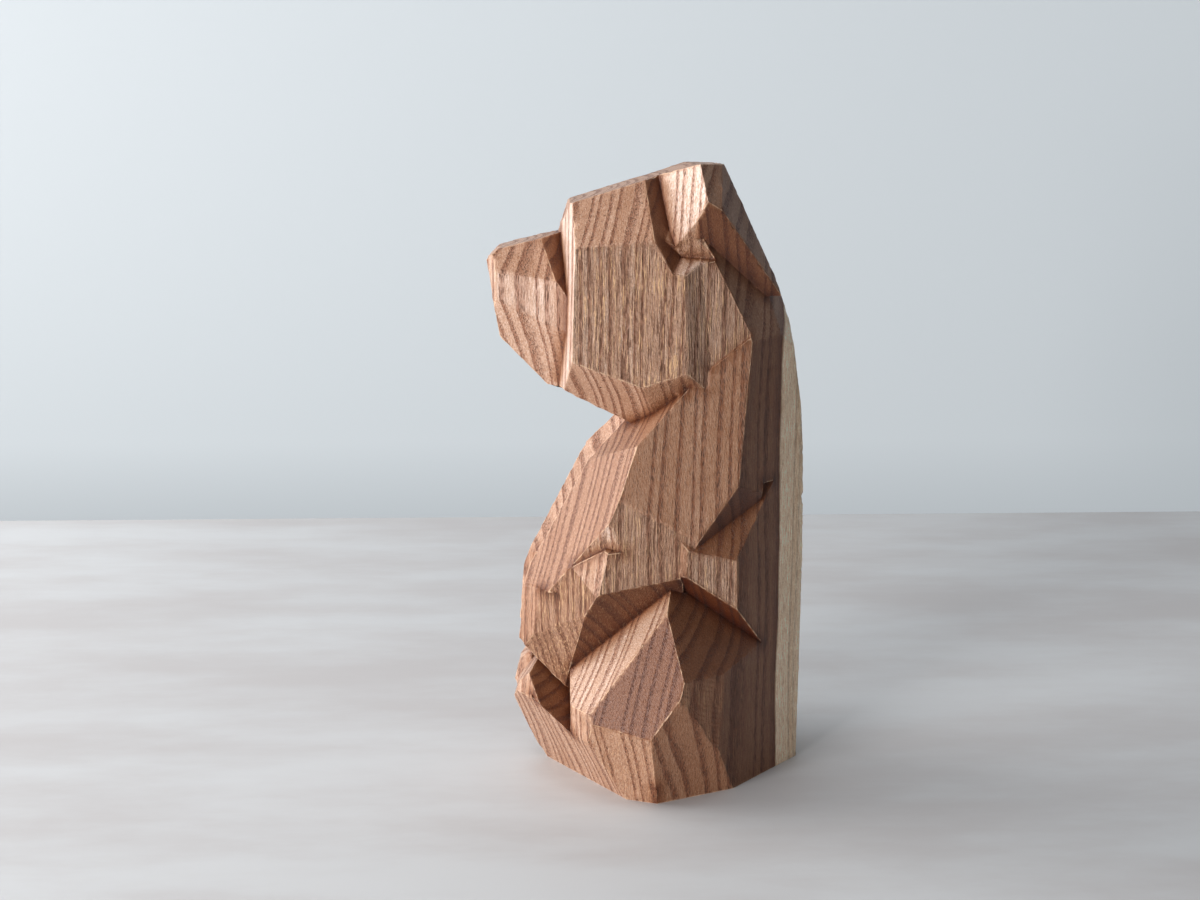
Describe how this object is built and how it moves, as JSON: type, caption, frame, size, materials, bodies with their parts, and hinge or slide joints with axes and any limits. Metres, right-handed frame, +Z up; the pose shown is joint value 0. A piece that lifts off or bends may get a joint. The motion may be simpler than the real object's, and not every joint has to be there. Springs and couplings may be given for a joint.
{
  "type": "carved wooden bear figurine",
  "caption": "Faceted sitting bear hewn from one block of wood, an ornament that stands on its own flat underside.",
  "frame": {"origin": "middle of the flat underside, at the surface that the figure stands on, on the axis of the standing block", "axes": "+Z up from the underside to the ears; the bear looks along -Y; its left side is +X"},
  "size_m": [0.0886, 0.0945, 0.181],
  "materials": {
    "elm": "oiled, straight from the knife, with open pores"
  },
  "bodies": {
    "root": {"bear": "elm"}
  },
  "joints": []
}
